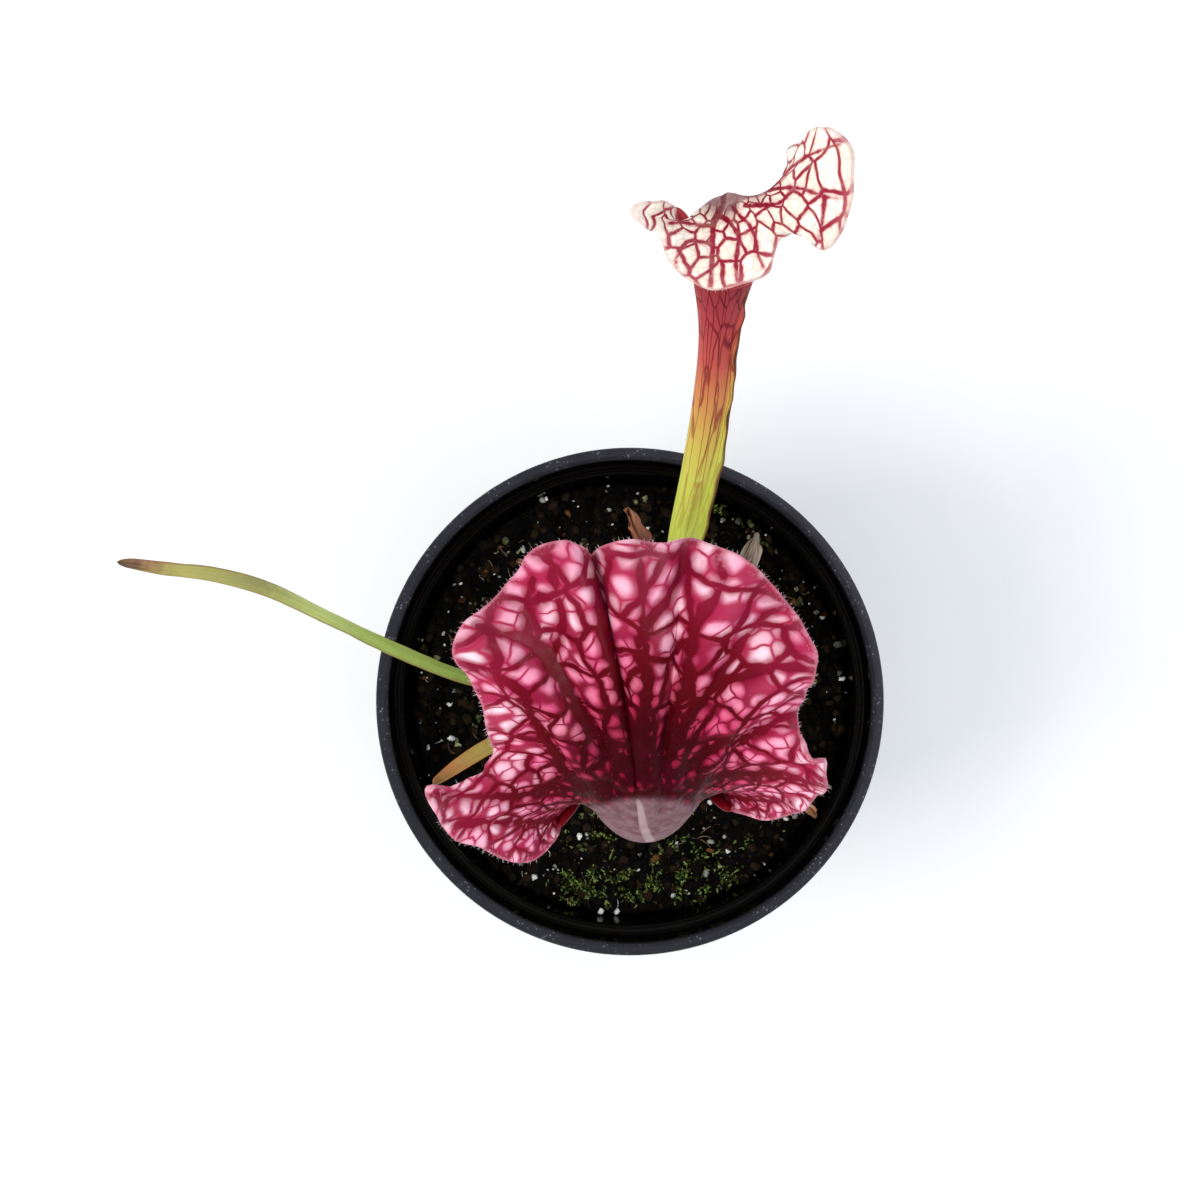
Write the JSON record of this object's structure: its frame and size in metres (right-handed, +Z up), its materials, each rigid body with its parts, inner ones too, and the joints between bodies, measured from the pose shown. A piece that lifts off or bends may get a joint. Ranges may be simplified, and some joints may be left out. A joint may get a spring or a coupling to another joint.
{
  "type": "potted pitcher plant",
  "caption": "Pitcher plant in a round nursery pot: a large pink hooded pitcher over the soil, a smaller white-hooded pitcher leaning out, a long flat leaf and dry leaf ends.",
  "frame": {"origin": "middle of the pot's underside, on the surface that it stands on", "axes": "+Z up; +Y the way that the smaller pitcher leans out over the rim, which is the top of the picture; +X the right of the picture"},
  "size_m": [0.1249, 0.1255, 0.2124],
  "materials": {
    "pot_plastic": "moulded black plastic, slightly grained",
    "peat_soil": "moist peat with perlite grains",
    "rhizome": "brown, scaly, matt",
    "pitcher_pink": "pink with crimson veins, waxy, finely haired",
    "pitcher_white": "white hood with red veins, lime to red tube, waxy",
    "leaf_green": "green with a dry brown tip, satin",
    "leaf_olive": "olive with orange edges, satin",
    "dry_brown": "dry, matt",
    "dry_papery": "dry, papery, matt",
    "dry_tan": "dry, matt"
  },
  "bodies": {
    "root": {"pot": "pot_plastic", "soil": "peat_soil", "rhizome": "rhizome", "pitcher_front": "pitcher_pink", "pitcher_back": "pitcher_white", "phyllode_left": "leaf_green", "leaf_olive": "leaf_olive", "dried_leaf_brown": "dry_brown", "dried_leaf_papery": "dry_papery", "dried_leaf_tan": "dry_tan"}
  },
  "joints": []
}
